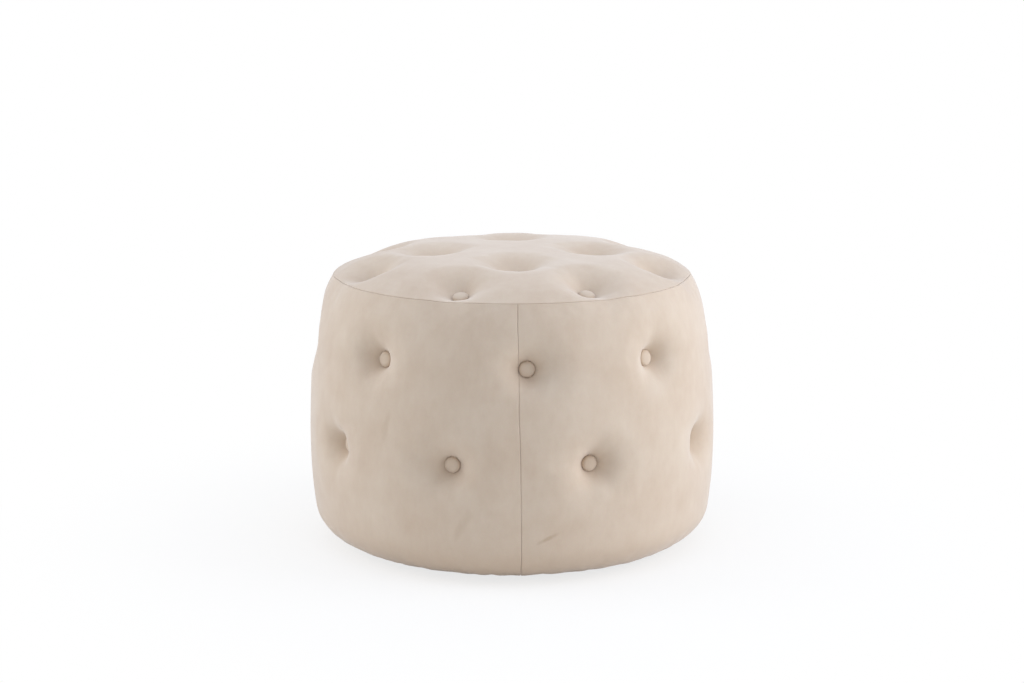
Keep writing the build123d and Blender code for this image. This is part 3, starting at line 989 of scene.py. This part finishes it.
def backdropRays(tree):  # 1 for rays that show the backdrop, straight or by way of gloss or glass
    path = addNode(tree, "ShaderNodeLightPath")
    seen = addNode(tree, "ShaderNodeMath", {
        0: path.outputs["Is Camera Ray"], 1: path.outputs["Is Glossy Ray"],
    }, operation="MAXIMUM")
    return addNode(tree, "ShaderNodeMath", {
        0: seen.outputs[0], 1: path.outputs["Is Transmission Ray"],
    }, operation="MAXIMUM").outputs[0]


def makeStage():
    selectNone()
    bpy.ops.mesh.primitive_plane_add(size=stage["floor"], location=(0, 0, 0))
    floor = bpy.context.object
    floor.name = "studioFloor"
    bpy.ops.object.mode_set(mode="EDIT")
    bpy.ops.mesh.select_all(action="SELECT")
    bpy.ops.transform.translate(value=stage["offset"])
    bpy.ops.object.mode_set(mode="OBJECT")
    material, tree = newMaterial("studioFloorPaper")
    matte = addNode(tree, "ShaderNodeBsdfDiffuse", {"Color": hexColour(stage["floorColour"])})
    white = addNode(tree, "ShaderNodeEmission", {"Color": (1, 1, 1, 1), "Strength": 1.0})
    place = addNode(tree, "ShaderNodeTexCoord").outputs["Object"]
    away = addNode(tree, "ShaderNodeVectorMath", {0: place}, operation="LENGTH")
    fade = addNode(tree, "ShaderNodeMapRange", {
        "Value": away.outputs["Value"], "From Min": stage["shadowStart"], "From Max": stage["shadowReach"],
        "To Min": 1 - stage["shadowShare"], "To Max": 1.0,
    }, interpolation_type="SMOOTHSTEP")
    share = addNode(tree, "ShaderNodeMath", {
        0: backdropRays(tree), 1: fade.outputs["Result"],
    }, operation="MULTIPLY")
    both = addNode(tree, "ShaderNodeMixShader", {
        0: share.outputs[0], 1: matte.outputs[0], 2: white.outputs[0],
    })
    below = addNode(tree, "ShaderNodeNewGeometry").outputs["Backfacing"]
    clear = addNode(tree, "ShaderNodeBsdfTransparent")
    sided = addNode(tree, "ShaderNodeMixShader", {0: below, 1: both.outputs[0], 2: clear.outputs[0]})
    addNode(tree, "ShaderNodeOutputMaterial", {"Surface": sided.outputs[0]})  # open to a camera below it
    floor.data.materials.append(material)


def makeWorld():  # dim fill for the object, white for the camera
    world = bpy.data.worlds.new("studioWorld")
    bpy.context.scene.world = world
    world.use_nodes = True
    tree = world.node_tree
    tree.nodes.clear()
    fill = addNode(tree, "ShaderNodeBackground", {"Color": (1, 1, 1, 1), "Strength": stage["fill"]})
    white = addNode(tree, "ShaderNodeBackground", {"Color": (1, 1, 1, 1), "Strength": 1.0})
    both = addNode(tree, "ShaderNodeMixShader", {
        0: backdropRays(tree), 1: fill.outputs[0], 2: white.outputs[0],
    })
    addNode(tree, "ShaderNodeOutputWorld", {"Surface": both.outputs[0]})


lamps = {
    "rightSoftbox": {"at": (2.3, -0.42, 1.0), "size": (1.6, 1.8), "power": 34.4, "colour": "#f4f7ff"},
    "leftSoftbox": {"at": (-2.4, 0.3, 1.2), "size": (1.6, 1.8), "power": 24.5, "colour": "#fbfcff"},
    "overheadSoftbox": {"at": (0.1, -0.3, 2.3), "size": (3.0, 3.0), "power": 24.3, "colour": "#c8dcff"},
}
lampAim = (0, 0, 0.2)


def makeLamps():
    aim = Vector(lampAim)
    for name, lamp in lamps.items():
        light = bpy.data.lights.new(name, "AREA")
        light.shape = "RECTANGLE"
        light.size, light.size_y = lamp["size"]
        light.energy = lamp["power"]
        light.color = hexColour(lamp["colour"])[:3]
        holder = bpy.data.objects.new(name, light)
        holder.location = lamp["at"]
        holder.rotation_euler = (aim - Vector(lamp["at"])).to_track_quat("-Z", "Y").to_euler()
        bpy.context.collection.objects.link(holder)


view = {
    "distance": 3.025,
    "height": 0.877,
    "pitch": 11.36,
    "turn": -1.8,
    "focalPixels": 2256,
    "frameWidth": 1024,
    "sensor": 36.0,
}


def makeCamera():
    lens = bpy.data.cameras.new("photoCamera")
    lens.sensor_width = view["sensor"]
    lens.lens = view["focalPixels"] / view["frameWidth"] * view["sensor"]
    camera = bpy.data.objects.new("photoCamera", lens)
    turn = math.radians(view["turn"])
    away = view["distance"]
    camera.location = (away * math.sin(turn), -away * math.cos(turn), view["height"])
    camera.rotation_euler = (math.radians(90 - view["pitch"]), 0, turn)
    bpy.context.collection.objects.link(camera)
    bpy.context.scene.camera = camera


makeStage()
makeWorld()
makeLamps()
makeCamera()
bpy.context.scene.view_settings.view_transform = "Standard"
